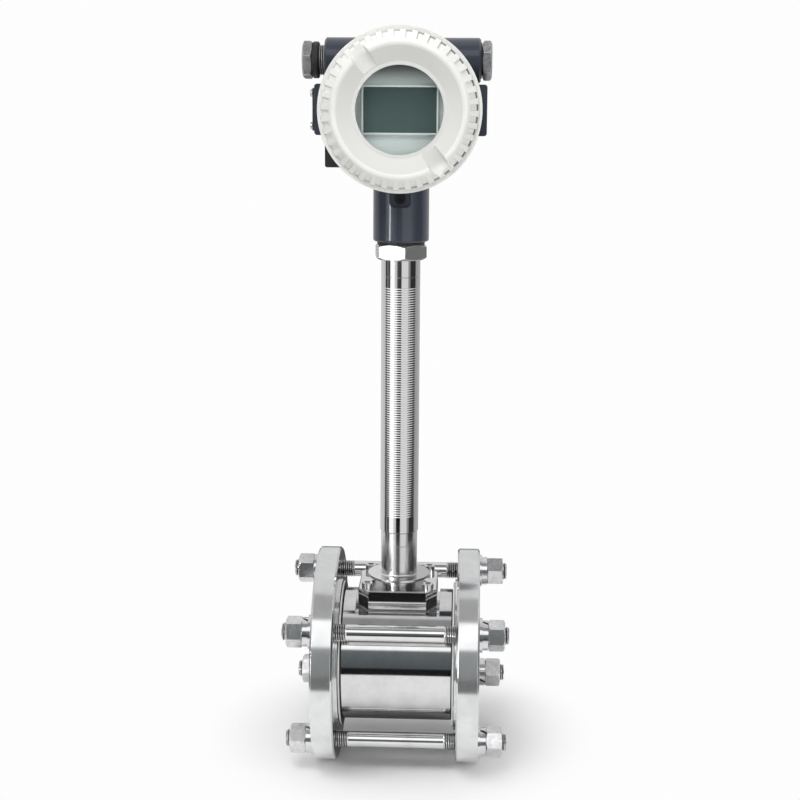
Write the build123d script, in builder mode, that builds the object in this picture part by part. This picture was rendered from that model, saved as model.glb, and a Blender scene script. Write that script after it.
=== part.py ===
from build123d import *
import os
from math import cos, radians, sin, sqrt, tan

# Wafer type vortex flow meter clamped between two plate flanges, sizes in millimetres.
# The origin is the centre of the inlet flange's outer face, on the pipe axis.
# +X is along the flow, +Z is up the stem to the display head, and the display looks towards -Y.

# Play between pieces that fit together, and between pieces that turn or slide past each other
fit_gap = 0.05
slide_gap = 0.3

# How closely an edge's radius is matched when edges are picked by it
radius_match = 0.001

# Hexagons: end circle as a share of the width across flats, slope of the chamfer, and how far
# outside the corners the turning starts
hexagon_face = 0.95
hexagon_slope = 30.0
hexagon_clear = 1.0

# Pipe flanges
flange_od = 195.0
flange_t = 20.0
flange_bore = 90.5
face_inset = 2.0
face_h = 2.0
rim_chamfer = 1.5
bolt_edge_w = 17.5
bolt_hole = 18.0
bolt_count = 4
bolt_turn = 57.4

# Gaskets
gasket_inset = 3.0
gasket_bore_over = 1.0
gasket_t = 2.0

# Meter body
body_od = 120.0
body_len = 100.0
pipe_bore = 80.0
body_chamfer = 1.0
seat_overhang = 0.04
seat_len = 76.0

# Shedder bar that stands across the bore
bar_face_w = 22.4
bar_tail_w = 8.4
bar_len = 28.0
bar_lip = 3.0
bar_plug_d = 38.0
bar_pin_d = 11.0
bar_pin_len = 9.0

# Vibration probe inside the shedder bar
probe_d = 9.0
probe_head_d = 24.0
probe_head_t = 5.0
probe_reach = 34.0

# Bonnet block and its four screws
block_gap = 0.25
block_h = 22.8
block_corner_w = 9.5
block_edge = 0.8
screw_inset = 8.1
screw_d = 6.0
screw_clearance = 0.3
screw_grip = 12.0
screw_head_d = 10.0
screw_head_h = 6.0
screw_head_edge = 0.6
screw_socket = 5.0
screw_socket_depth = 3.0

# Stem
stem_thread_d = 27.0
waist_d = 30.4
waist_h = 5.2
disc_gap = 5.45
disc_t = 2.6
disc_edge = 0.4
foot_d = 32.8
foot_h = 40.0
foot_line_h = 28.0
stem_d = 34.4
stem_len = 247.5
top_line_drop = 14.8
line_w = 0.9
line_depth = 0.4
cable_bore = 12.0
swivel_d = 30.0
swivel_len = 60.0
swivel_edge = 1.5

# Lock nut and seal under the head
lock_nut_af = 42.0
lock_nut_h = 14.0
lock_nut_turn = 41.0
neck_seal_od = 42.0
neck_seal_t = 1.7

# Tie studs, nuts and washers, with the turn of each nut and washer round its stud
stud_d = 16.0
stud_shank_d = 14.7
stud_thread_len = 57.0
stud_edge = 1.2
stud_overhang = 26.0
flat_washer_od = 30.0
flat_washer_t = 2.5
spring_washer_od = 26.0
spring_washer_t = 5.0
washer_split = 2.6
washer_split_lean = 1.6
nut_af = 24.0
nut_h = 14.8
inlet_nut_turns = (24.5, 10.7, 50.3, 59.8)
outlet_nut_turns = (42.5, 17.9, 1.2, 51.8)
washer_turns = (60.0, 104.0, 112.0, 200.0)

# Head housing, a drum with two open mouths and a wall between them
head_rise = 113.5
drum_d = 124.0
drum_len = 84.0
drum_edge = 0.6
cavity_d = 110.0
mouth_d = 116.0
wall_y = 8.0
wall_t = 3.0
feed_hole_d = 16.0
neck_d = 49.0
neck_edge = 2.0
neck_bore_over = 1.0
passage_d = 14.0
pocket_w = 18.3
pocket_low = 30.8
pocket_high = 56.0
pocket_corner = 4.0
pocket_depth = 2.6
lock_screw_rise = 38.5
lock_screw_d = 10.0
lock_screw_len = 6.0
lock_screw_socket = 5.0
lock_screw_socket_depth = 3.5

# Cable entries and their blanking plugs, with how far each plug is unscrewed
entry_d = 39.0
entry_rise = 42.2
entry_y = 22.0
entry_reach = 68.0
entry_edge = 1.6
entry_thread_d = 26.4
entry_passage_d = 20.0
entry_recess_depth = 4.8
entry_bore_over = 1.0
plug_seal_od = 31.6
plug_seal_t = 5.4
plug_seal_edge = 1.2
plug_af = 30.0
plug_head = 8.5
plug_thread_len = 20.0
plug_core_d = 17.0
plug_core_depth = 15.0
left_plug_out = 9.9
right_plug_out = 0.0
left_plug_turn = 10.1
right_plug_turn = 37.8

# Side pads, with a blank plate on the left one
pad_h = 43.0
pad_len = 56.0
pad_reach = 73.5
pad_corner = 2.6
side_plate_t = 1.6
side_plate_margin = 1.0
side_plate_corner = 2.0
side_screw_span_y = 44.0
side_screw_span_z = 27.4

# Cast lug and blank tag plate at the lower left of the drum
lug_angle = 222.0
lug_w = 16.0
lug_t = 8.0
lug_front = 1.5
lug_reach = 72.0
lug_corner = 3.0
tag_reach = 67.0
tag_low = 50.0
tag_w = 34.0
tag_t = 1.5
tag_corner = 2.0
tag_screw_r = 67.2

# Small cross-headed screws that hold both plates
small_head_d = 6.4
small_head_h = 2.2
small_shank_d = 3.0
small_shank_len = 5.0
small_clearance = 0.2
small_cross_w = 1.0
small_cross_len = 3.6
small_cross_depth = 1.0

# Screwed covers with castellated rims
cover_thread_len = 14.0
cover_wall = 6.0
seal_ring_w = 3.0
seal_ring_t = 2.5
rim_d = 138.8
rim_t = 4.0
groove_d = 131.0
groove_w = 1.5
tooth_d = 133.0
tooth_top_d = 116.2
tooth_rise = 9.0
teeth = 40
tooth_gap_arc = 4.5
tooth_gap_depth = 1.5
tooth_gap_part = 0.86
crown_rise = 1.2
crown_bulge = 0.7
crown_w = 4.2
bowl_depth = 8.0
bowl_ledge_w = 3.3
slot_w = 16.0
slot_slope = 1.5
slot_corner = 1.2
slot_angle = 126.5
slot_lift = 0.3
cover_back_t = 4.0
holder_slope = 5.0

# Window glass and the ring that holds it
window_d = 74.2
window_lip = 3.0
glass_d = 86.0
glass_t = 6.0
holder_t = 5.0
glass_ring_d = 75.0
glass_ring_t = 4.0
spanner_hole_d = 3.0
spanner_hole_depth = 2.0

# Display, electronics and terminals inside the head
module_gap = 5.0
module_len = 28.0
module_step_w = 8.0
module_edge = 2.0
display_gap = 0.5
display_plate_d = 88.0
display_plate_t = 2.0
lcd_w = 61.6
lcd_h = 37.6
lcd_t = 3.0
bezel_w = 1.4
bezel_t = 3.4
bezel_gap = 0.2
terminal_w = 54.0
terminal_h = 24.0
terminal_t = 14.0
terminal_step_h = 12.0
terminal_step_t = 8.0
terminal_ways = 5
terminal_pitch = 10.0
terminal_screw_d = 5.0
terminal_screw_h = 2.0
terminal_screw_slot = 0.8
terminal_wire_d = 5.0
terminal_wire_depth = 9.0

# Places and sizes worked out from the sizes above
bolt_circle_d = flange_od - 2 * bolt_edge_w
face_od = bolt_circle_d - bolt_hole - 2 * face_inset
gasket_od = face_od - 2 * gasket_inset
gasket_bore = flange_bore + 2 * gasket_bore_over
face_x = flange_t + face_h
body_x = face_x + gasket_t
mid_x = body_x + body_len / 2
outlet_x = 2 * mid_x
block_w = bolt_circle_d * cos(radians(bolt_turn)) - stud_shank_d - 2 * block_gap
screw_span = block_w - 2 * screw_inset
disc_d = screw_span * sqrt(2) - screw_head_d - 2 * disc_gap
seat_z = sqrt((body_od / 2) ** 2 - (block_w / 2 - seat_overhang) ** 2)
block_top = seat_z + block_h
probe_top = seat_z + probe_head_t
disc_z = block_top + waist_h
disc_top = disc_z + disc_t
shoulder_z = disc_top + foot_h
stem_top = shoulder_z + stem_len
swivel_top = stem_top + swivel_len
lock_nut_top = stem_top + lock_nut_h
neck_z = lock_nut_top + neck_seal_t + slide_gap
head_z = neck_z + head_rise
entry_z = head_z + entry_rise

seal_floor = entry_reach - entry_recess_depth
plug_seal_start = seal_floor + slide_gap
plug_head_start = plug_seal_start + plug_seal_t + slide_gap
plug_end = plug_head_start - plug_thread_len

rim_base = drum_len / 2 + slide_gap
spigot_end = rim_base - cover_thread_len
groove_base = rim_base + rim_t
tooth_base = groove_base + groove_w
tooth_top = tooth_base + tooth_rise
crown_top = tooth_top + crown_rise
bowl_d = tooth_top_d - 2 * crown_w
bowl_floor_d = window_d + 2 * bowl_ledge_w
bowl_floor = crown_top - bowl_depth
glass_front = bowl_floor - window_lip
glass_back = glass_front - glass_t
ring_back = glass_back - glass_ring_t
spigot_r = mouth_d / 2 - fit_gap
spigot_inner_r = spigot_r - cover_wall
seal_ring_r = spigot_r + slide_gap
seal_pocket_r = seal_ring_r + seal_ring_w + slide_gap
seal_pocket_top = rim_base + seal_ring_t + slide_gap
holder_r = glass_d / 2 + holder_t

bezel_front = ring_back - display_gap
plate_front = bezel_front - bezel_t
plate_back = plate_front - display_plate_t
module_d = cavity_d - 2 * module_gap
module_step_d = module_d - 2 * module_step_w
module_front = module_len - wall_y
rear_wall = wall_y + wall_t

stem_section = Plane(origin=(mid_x, 0, 0), x_dir=(1, 0, 0), z_dir=(0, -1, 0))
front_section = Plane(origin=(mid_x, 0, head_z), x_dir=(1, 0, 0), z_dir=(0, 0, -1))
rear_section = Plane(origin=(mid_x, 0, head_z), x_dir=(1, 0, 0), z_dir=(0, 0, 1))
front_face = Plane(origin=(mid_x, 0, head_z), x_dir=(1, 0, 0), z_dir=(0, -1, 0))
rear_face = Plane(origin=(mid_x, 0, head_z), x_dir=(-1, 0, 0), z_dir=(0, 1, 0))
centre_plane = Plane(origin=(mid_x, 0, 0), x_dir=(0, 1, 0), z_dir=(1, 0, 0))
left_pad_face = Plane(origin=(mid_x - pad_reach, 0, head_z), x_dir=(0, -1, 0), z_dir=(-1, 0, 0))
head_axis = Axis((mid_x, 0, head_z), (0, 1, 0))
stem_axis = Axis((mid_x, 0, 0), (0, 0, 1))


def level(height):
    """Horizontal plane at a height, centred on the stem."""
    return Plane(origin=(mid_x, 0, height), x_dir=(1, 0, 0), z_dir=(0, 0, 1))


def across_pipe(place):
    """Plane square to the pipe at a distance from the inlet face, with Y and Z as its axes."""
    return Plane(origin=(place, 0, 0), x_dir=(0, 1, 0), z_dir=(1, 0, 0))


def entry_face(side, reach):
    """Plane square to a cable entry, on the left (-1) or the right (1), facing outwards."""
    return Plane(origin=(mid_x + side * reach, entry_y, entry_z), x_dir=(0, 1, 0), z_dir=(side, 0, 0))


def entry_section(side):
    """Plane that holds a cable entry's axis, with its height along that axis."""
    return Plane(origin=(mid_x, entry_y, entry_z), x_dir=(0, 1, 0), z_dir=(0, 0, -side))


def stud_spots():
    """Y and Z of each tie stud, round the pipe axis."""
    spots = []
    for index in range(bolt_count):
        angle = radians(bolt_turn + index * 360 / bolt_count)
        spots.append((bolt_circle_d / 2 * cos(angle), bolt_circle_d / 2 * sin(angle)))
    return spots


def stack_starts(distance, thickness):
    """Low X of a piece that lies outside the inlet flange, and of its twin at the outlet."""
    return -distance - thickness, outlet_x + distance


def round_edges(part, radius):
    """The circular edges of one radius."""
    rounds = part.edges().filter_by(GeomType.CIRCLE)
    return rounds.filter_by(lambda edge: abs(edge.radius - radius) < radius_match)


def trim_hexagon(section, across_flats, low, high):
    """Turn both ends of a hexagon to a chamfer, in the current part."""
    face_r = hexagon_face * across_flats / 2
    outer_r = across_flats / 2 / cos(radians(30)) + hexagon_clear
    drop = (outer_r - face_r) * tan(radians(hexagon_slope))
    with BuildSketch(section) as keep:
        with BuildLine():
            Polyline(
                (0, low),
                (face_r, low),
                (outer_r, low + drop),
                (outer_r, high - drop),
                (face_r, high),
                (0, high),
                close=True,
            )
        make_face()
    revolve(keep.sketch, axis=Axis(section.origin, section.y_dir), mode=Mode.INTERSECT)


# Flanges with a raised face towards the meter body

with BuildPart() as inlet_flange:
    with BuildSketch(across_pipe(0)):
        Circle(flange_od / 2)
    extrude(amount=flange_t)
    chamfer(round_edges(inlet_flange, flange_od / 2), rim_chamfer)
    with BuildSketch(across_pipe(flange_t)):
        Circle(face_od / 2)
    extrude(amount=face_h)
    with BuildSketch(across_pipe(0)):
        Circle(flange_bore / 2)
        with PolarLocations(bolt_circle_d / 2, bolt_count, start_angle=bolt_turn):
            Circle(bolt_hole / 2)
    extrude(amount=face_x, mode=Mode.SUBTRACT)
inlet_flange.part.label = "inlet_flange"

with BuildPart() as outlet_flange:
    mirror(inlet_flange.part, about=centre_plane)
outlet_flange.part.label = "outlet_flange"

# Flat gaskets between the raised faces and the body

with BuildPart() as inlet_gasket:
    with BuildSketch(across_pipe(face_x)):
        Circle(gasket_od / 2)
        Circle(gasket_bore / 2, mode=Mode.SUBTRACT)
    extrude(amount=gasket_t)
inlet_gasket.part.label = "inlet_gasket"

with BuildPart() as outlet_gasket:
    mirror(inlet_gasket.part, about=centre_plane)
outlet_gasket.part.label = "outlet_gasket"

# Meter body, with a flat seat milled across its top for the bonnet block

with BuildPart() as meter_body:
    with BuildSketch(across_pipe(body_x)):
        Circle(body_od / 2)
    extrude(amount=body_len)
    chamfer(round_edges(meter_body, body_od / 2), body_chamfer)
    with BuildSketch(across_pipe(body_x)):
        Circle(pipe_bore / 2)
    extrude(amount=body_len, mode=Mode.SUBTRACT)
    with BuildSketch(level(seat_z)):
        Rectangle(seat_len, body_od)
    extrude(amount=body_od / 2, mode=Mode.SUBTRACT)
    with BuildSketch(level(seat_z)):
        Circle(bar_plug_d / 2 + fit_gap)
    extrude(amount=-seat_z, mode=Mode.SUBTRACT)
    with BuildSketch(level(0)):
        Circle(bar_pin_d / 2 + fit_gap)
    extrude(amount=-(pipe_bore / 2 + bar_pin_len + slide_gap), mode=Mode.SUBTRACT)
    with BuildSketch(level(seat_z)):
        with GridLocations(screw_span, screw_span, 2, 2):
            Circle(screw_d / 2 + fit_gap)
    extrude(amount=-(screw_grip + slide_gap), mode=Mode.SUBTRACT)
meter_body.part.label = "meter_body"

# Shedder bar: a blunt face upstream, a tapering tail, a round plug above and a pin below

with BuildPart() as bluff_body:
    with BuildSketch(level(0)) as bar_section:
        with BuildLine():
            Polyline(
                (-bar_len / 2, -bar_face_w / 2),
                (-bar_len / 2 + bar_lip, -bar_face_w / 2),
                (bar_len / 2, -bar_tail_w / 2),
                (bar_len / 2, bar_tail_w / 2),
                (-bar_len / 2 + bar_lip, bar_face_w / 2),
                (-bar_len / 2, bar_face_w / 2),
                close=True,
            )
        make_face()
    extrude(amount=-pipe_bore / 2)
    with BuildSketch(across_pipe(body_x)):
        Circle(pipe_bore / 2 - fit_gap)
    extrude(amount=body_len, mode=Mode.INTERSECT)
    extrude(bar_section.sketch, amount=pipe_bore / 2)
    with BuildSketch(level(pipe_bore / 2)):
        Circle(bar_plug_d / 2)
    extrude(amount=seat_z - pipe_bore / 2)
    with BuildSketch(level(0)):
        Circle(bar_pin_d / 2)
    extrude(amount=-(pipe_bore / 2 + bar_pin_len))
    with BuildSketch(level(seat_z)):
        Circle(probe_d / 2 + fit_gap)
    extrude(amount=-(probe_reach + slide_gap), mode=Mode.SUBTRACT)
bluff_body.part.label = "bluff_body"

with BuildPart() as sensor_probe:
    with BuildSketch(level(seat_z)):
        Circle(probe_head_d / 2)
    extrude(amount=probe_head_t)
    with BuildSketch(level(seat_z)):
        Circle(probe_d / 2)
    extrude(amount=-probe_reach)
    fillet(round_edges(sensor_probe, probe_d / 2).sort_by(Axis.Z)[0], probe_d / 4)
sensor_probe.part.label = "sensor_probe"

# Bonnet block with bevelled corners, tapped in the middle for the stem

with BuildPart() as bonnet_block:
    with BuildSketch(level(seat_z)):
        block_outline = Rectangle(block_w, block_w)
        chamfer(block_outline.vertices(), block_corner_w)
    extrude(amount=block_h)
    chamfer(bonnet_block.faces().sort_by(Axis.Z)[-1].edges(), block_edge)
    with BuildSketch(level(seat_z)):
        Circle(stem_thread_d / 2 + fit_gap)
        with GridLocations(screw_span, screw_span, 2, 2):
            Circle(screw_d / 2 + screw_clearance)
    extrude(amount=block_h, mode=Mode.SUBTRACT)
bonnet_block.part.label = "bonnet_block"

with BuildPart() as bonnet_screws:
    with BuildSketch(level(seat_z - screw_grip)):
        with GridLocations(screw_span, screw_span, 2, 2):
            Circle(screw_d / 2)
    extrude(amount=screw_grip + block_h)
    with BuildSketch(level(block_top)):
        with GridLocations(screw_span, screw_span, 2, 2):
            Circle(screw_head_d / 2)
    extrude(amount=screw_head_h)
    head_tops = round_edges(bonnet_screws, screw_head_d / 2).group_by(Axis.Z)[-1]
    chamfer(head_tops, screw_head_edge)
    with BuildSketch(level(block_top + screw_head_h)):
        with GridLocations(screw_span, screw_span, 2, 2):
            RegularPolygon(screw_socket / 2, 6, major_radius=False)
    extrude(amount=-screw_socket_depth, mode=Mode.SUBTRACT)
bonnet_screws.part.label = "bonnet_screws"

# Stem, turned from one bar and drilled through for the cable

foot_line_z = disc_top + foot_line_h
top_line_z = stem_top - top_line_drop
line_floor_r = foot_d / 2 - line_depth

with BuildPart() as stem:
    with BuildSketch(stem_section):
        with BuildLine():
            Polyline(
                (cable_bore / 2, probe_top),
                (stem_thread_d / 2, probe_top),
                (stem_thread_d / 2, block_top),
                (waist_d / 2, block_top),
                (waist_d / 2, disc_z),
                (disc_d / 2, disc_z),
                (disc_d / 2, disc_top),
                (foot_d / 2, disc_top),
                (foot_d / 2, foot_line_z - line_w / 2),
                (line_floor_r, foot_line_z - line_w / 2),
                (line_floor_r, foot_line_z + line_w / 2),
                (foot_d / 2, foot_line_z + line_w / 2),
                (foot_d / 2, shoulder_z),
                (stem_d / 2, shoulder_z),
                (stem_d / 2, top_line_z - line_w / 2),
                (stem_d / 2 - line_depth, top_line_z - line_w / 2),
                (stem_d / 2 - line_depth, top_line_z + line_w / 2),
                (stem_d / 2, top_line_z + line_w / 2),
                (stem_d / 2, stem_top),
                (swivel_d / 2, stem_top),
                (swivel_d / 2, swivel_top - swivel_edge),
                (swivel_d / 2 - swivel_edge, swivel_top),
                (cable_bore / 2, swivel_top),
                close=True,
            )
        make_face()
    revolve(axis=stem_axis)
    chamfer(round_edges(stem, disc_d / 2), disc_edge)
stem.part.label = "stem"

# Lock nut on the stem's top thread, and the flat seal that the head turns on

with BuildPart() as lock_nut:
    with BuildSketch(level(stem_top)):
        RegularPolygon(lock_nut_af / 2, 6, major_radius=False, rotation=lock_nut_turn)
        Circle(swivel_d / 2 + fit_gap, mode=Mode.SUBTRACT)
    extrude(amount=lock_nut_h)
    trim_hexagon(stem_section, lock_nut_af, stem_top, lock_nut_top)
lock_nut.part.label = "lock_nut"

with BuildPart() as neck_seal:
    with BuildSketch(level(lock_nut_top)):
        Circle(neck_seal_od / 2)
        Circle(swivel_d / 2 + fit_gap, mode=Mode.SUBTRACT)
    extrude(amount=neck_seal_t)
neck_seal.part.label = "neck_seal"

# Tie studs with a thinner shank between their threads

stud_len = outlet_x + 2 * stud_overhang
stud_shank_len = stud_len - 2 * stud_thread_len

with BuildPart() as tie_studs:
    with BuildSketch(across_pipe(-stud_overhang)):
        with Locations(*stud_spots()):
            Circle(stud_d / 2)
    extrude(amount=stud_len)
    chamfer(round_edges(tie_studs, stud_d / 2), stud_edge)
    with BuildSketch(across_pipe(stud_thread_len - stud_overhang)):
        with Locations(*stud_spots()):
            Circle(stud_d)
            Circle(stud_shank_d / 2, mode=Mode.SUBTRACT)
    extrude(amount=stud_shank_len, mode=Mode.SUBTRACT)
tie_studs.part.label = "tie_studs"

# Flat washers, split spring washers and nuts, four at each end

with BuildPart() as flat_washers:
    for start in stack_starts(0, flat_washer_t):
        with BuildSketch(across_pipe(start)):
            with Locations(*stud_spots()):
                Circle(flat_washer_od / 2)
                Circle(stud_d / 2 + slide_gap, mode=Mode.SUBTRACT)
        extrude(amount=flat_washer_t)
flat_washers.part.label = "flat_washers"

# One spring washer and one nut, standing on the origin

with BuildPart() as spring_washer:
    with BuildSketch():
        Circle(spring_washer_od / 2)
        Circle(stud_d / 2 + fit_gap, mode=Mode.SUBTRACT)
    extrude(amount=spring_washer_t)
    with BuildSketch(Plane.YZ):
        with BuildLine():
            Polyline(
                (-washer_split / 2 - washer_split_lean, 0),
                (washer_split / 2 - washer_split_lean, 0),
                (washer_split / 2 + washer_split_lean, spring_washer_t),
                (-washer_split / 2 + washer_split_lean, spring_washer_t),
                close=True,
            )
        make_face()
    extrude(amount=spring_washer_od, mode=Mode.SUBTRACT)

with BuildPart() as stud_nut:
    with BuildSketch():
        RegularPolygon(nut_af / 2, 6, major_radius=False)
        Circle(stud_d / 2 + fit_gap, mode=Mode.SUBTRACT)
    extrude(amount=nut_h)
    trim_hexagon(Plane.XZ, nut_af, 0, nut_h)


def stud_places(start, turns):
    """A place on each stud at one X, turned round the stud."""
    places = []
    for (spot_y, spot_z), turn in zip(stud_spots(), turns):
        plane = Plane(origin=(start, spot_y, spot_z), x_dir=(0, 1, 0), z_dir=(1, 0, 0))
        places.append(plane.location * Location((0, 0, 0), (0, 0, turn)))
    return places


with BuildPart() as spring_washers:
    for start in stack_starts(flat_washer_t, spring_washer_t):
        with Locations(*stud_places(start, washer_turns)):
            add(spring_washer.part)
spring_washers.part.label = "spring_washers"

inlet_nut_x, outlet_nut_x = stack_starts(flat_washer_t + spring_washer_t, nut_h)

with BuildPart() as stud_nuts:
    with Locations(*stud_places(inlet_nut_x, inlet_nut_turns)):
        add(stud_nut.part)
    with Locations(*stud_places(outlet_nut_x, outlet_nut_turns)):
        add(stud_nut.part)
stud_nuts.part.label = "stud_nuts"

# Head housing, cast in one piece

lug_len = lug_reach - cavity_d / 2
mouth_floor = drum_len / 2 - cover_thread_len

with BuildPart() as housing:
    # Neck with a rounded pocket at the front for the lock screw
    with BuildSketch(level(neck_z)):
        Circle(neck_d / 2)
    extrude(amount=head_rise)
    fillet(round_edges(housing, neck_d / 2).sort_by(Axis.Z)[0], neck_edge)
    with BuildSketch(Plane(origin=(mid_x, -neck_d / 2, neck_z), x_dir=(1, 0, 0), z_dir=(0, -1, 0))):
        with Locations((0, (pocket_low + pocket_high) / 2)):
            RectangleRounded(pocket_w, pocket_high - pocket_low, pocket_corner)
    extrude(amount=-pocket_depth, mode=Mode.SUBTRACT)
    # Drum, cable entries, side pads and lug
    with BuildSketch(front_face):
        Circle(drum_d / 2)
    extrude(amount=drum_len / 2, both=True)
    chamfer(round_edges(housing, drum_d / 2), drum_edge)
    with BuildSketch(entry_face(1, 0)):
        Circle(entry_d / 2)
    extrude(amount=entry_reach, both=True)
    chamfer(round_edges(housing, entry_d / 2), entry_edge)
    with BuildSketch(front_face):
        RectangleRounded(2 * pad_reach, pad_h, pad_corner)
    extrude(amount=pad_len / 2, both=True)
    with BuildSketch(front_face.offset(-lug_front)):
        with PolarLocations(lug_reach - lug_len / 2, 1, start_angle=lug_angle):
            RectangleRounded(lug_len, lug_w, lug_corner)
    extrude(amount=-lug_t)
    # Cover mouths and the two compartments, with a hole through the wall between them
    for face, wall in ((front_face, -wall_y), (rear_face, rear_wall)):
        with BuildSketch(face.offset(mouth_floor)):
            Circle(mouth_d / 2)
        extrude(amount=cover_thread_len, mode=Mode.SUBTRACT)
        with BuildSketch(face.offset(wall)):
            Circle(cavity_d / 2)
        extrude(amount=mouth_floor - wall, mode=Mode.SUBTRACT)
    with BuildSketch(rear_face.offset(wall_y)):
        Circle(feed_hole_d / 2)
    extrude(amount=wall_t, mode=Mode.SUBTRACT)
    # Stem bore, cable passage and lock screw hole
    with BuildSketch(level(neck_z)):
        Circle(swivel_d / 2 + fit_gap)
    extrude(amount=swivel_top + neck_bore_over - neck_z, mode=Mode.SUBTRACT)
    with BuildSketch(level(neck_z)):
        Circle(passage_d / 2)
    extrude(amount=head_rise - cavity_d / 4, mode=Mode.SUBTRACT)
    with BuildSketch(stem_section.offset(neck_d / 2)):
        with Locations((0, neck_z + lock_screw_rise)):
            Circle(lock_screw_d / 2 + fit_gap)
    extrude(amount=-neck_d / 2, mode=Mode.SUBTRACT)
    # Cable entry threads, seal recesses and the passage that joins them
    with BuildSketch(entry_face(1, 0)):
        Circle(entry_passage_d / 2)
    extrude(amount=entry_reach, both=True, mode=Mode.SUBTRACT)
    for side in (-1, 1):
        with BuildSketch(entry_face(side, plug_end - entry_bore_over)):
            Circle(entry_thread_d / 2 + fit_gap)
        extrude(amount=entry_reach - plug_end + entry_bore_over, mode=Mode.SUBTRACT)
        with BuildSketch(entry_face(side, seal_floor)):
            Circle(plug_seal_od / 2 + slide_gap)
        extrude(amount=entry_recess_depth, mode=Mode.SUBTRACT)
    # Tapped holes for the plate screws
    with BuildSketch(left_pad_face):
        with GridLocations(side_screw_span_y, side_screw_span_z, 2, 2):
            Circle(small_shank_d / 2 + fit_gap)
    extrude(amount=-(small_shank_len + slide_gap), mode=Mode.SUBTRACT)
    with BuildSketch(front_face.offset(-lug_front)):
        with PolarLocations(tag_screw_r, 1, start_angle=lug_angle):
            Circle(small_shank_d / 2 + fit_gap)
    extrude(amount=-(small_shank_len + slide_gap), mode=Mode.SUBTRACT)
housing.part.label = "housing"

# Set screw that locks the head on the stem

lock_screw_tip = swivel_d / 2 + slide_gap
lock_screw_z = neck_z + lock_screw_rise

with BuildPart() as lock_screw:
    with BuildSketch(stem_section.offset(lock_screw_tip)):
        with Locations((0, lock_screw_z)):
            Circle(lock_screw_d / 2)
    extrude(amount=lock_screw_len)
    with BuildSketch(stem_section.offset(lock_screw_tip + lock_screw_len)):
        with Locations((0, lock_screw_z)):
            RegularPolygon(lock_screw_socket / 2, 6, major_radius=False)
    extrude(amount=-lock_screw_socket_depth, mode=Mode.SUBTRACT)
lock_screw.part.label = "lock_screw"

# Blank plate on the left pad

side_plate_h = pad_h - 2 * side_plate_margin - 2 * pad_corner
side_plate_len = pad_len - 2 * side_plate_margin

with BuildPart() as side_plate:
    with BuildSketch(left_pad_face):
        RectangleRounded(side_plate_len, side_plate_h, side_plate_corner)
        with GridLocations(side_screw_span_y, side_screw_span_z, 2, 2):
            Circle(small_shank_d / 2 + small_clearance, mode=Mode.SUBTRACT)
    extrude(amount=side_plate_t)
side_plate.part.label = "side_plate"

# A small screw's head, standing on the origin

with BuildPart() as small_head:
    with BuildSketch():
        Circle(small_head_d / 2)
    extrude(amount=small_head_h)
    fillet(small_head.edges().sort_by(Axis.Z)[-1], small_head_h / 2)
    with BuildSketch(Plane.XY.offset(small_head_h)):
        Rectangle(small_cross_len, small_cross_w)
        Rectangle(small_cross_w, small_cross_len)
    extrude(amount=-small_cross_depth, mode=Mode.SUBTRACT)

side_screw_face = left_pad_face.offset(side_plate_t)

with BuildPart(side_screw_face) as side_plate_screws:
    with BuildSketch(side_screw_face):
        with GridLocations(side_screw_span_y, side_screw_span_z, 2, 2):
            Circle(small_shank_d / 2)
    extrude(amount=-(side_plate_t + small_shank_len))
    with GridLocations(side_screw_span_y, side_screw_span_z, 2, 2):
        add(small_head.part)
side_plate_screws.part.label = "side_plate_screws"

# Blank tag plate that follows the drum, on the cast lug

tag_h = tag_low - pad_h / 2 - slide_gap

with BuildPart() as tag_plate:
    with BuildSketch(front_face.offset(-lug_front)):
        with Locations((-tag_reach + tag_w / 2, -tag_low + tag_h / 2)):
            RectangleRounded(tag_w, tag_h, tag_corner)
        Circle(drum_d / 2 + slide_gap, mode=Mode.SUBTRACT)
        with PolarLocations(tag_screw_r, 1, start_angle=lug_angle):
            Circle(small_shank_d / 2 + small_clearance, mode=Mode.SUBTRACT)
    extrude(amount=tag_t)
tag_plate.part.label = "tag_plate"

tag_screw_face = front_face.offset(tag_t - lug_front)

with BuildPart(tag_screw_face) as tag_screw:
    with BuildSketch(tag_screw_face):
        with PolarLocations(tag_screw_r, 1, start_angle=lug_angle):
            Circle(small_shank_d / 2)
    extrude(amount=-(tag_t + small_shank_len))
    with PolarLocations(tag_screw_r, 1, start_angle=lug_angle):
        add(small_head.part)
tag_screw.part.label = "tag_screw"

# Electronics module against the wall, with the display in front of it

with BuildPart() as display_module:
    with BuildSketch(front_face.offset(-wall_y)):
        Circle(module_d / 2)
    extrude(amount=module_len)
    chamfer(round_edges(display_module, module_d / 2), module_edge)
    with BuildSketch(front_face.offset(module_front)):
        Circle(module_step_d / 2)
    extrude(amount=plate_back - module_front)
display_module.part.label = "display_module"

with BuildPart() as display_plate:
    with BuildSketch(front_face.offset(plate_back)):
        Circle(display_plate_d / 2)
    extrude(amount=display_plate_t)
display_plate.part.label = "display_plate"

with BuildPart() as lcd_panel:
    with BuildSketch(front_face.offset(plate_front)):
        Rectangle(lcd_w, lcd_h)
    extrude(amount=lcd_t)
lcd_panel.part.label = "lcd_panel"

bezel_inner_w = lcd_w + 2 * bezel_gap
bezel_inner_h = lcd_h + 2 * bezel_gap

with BuildPart() as lcd_bezel:
    with BuildSketch(front_face.offset(plate_front)):
        Rectangle(bezel_inner_w + 2 * bezel_w, bezel_inner_h + 2 * bezel_w)
        Rectangle(bezel_inner_w, bezel_inner_h, mode=Mode.SUBTRACT)
    extrude(amount=bezel_t)
lcd_bezel.part.label = "lcd_bezel"

# Terminal block in the rear compartment, stepped, with a screw and a wire hole for each way

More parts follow.
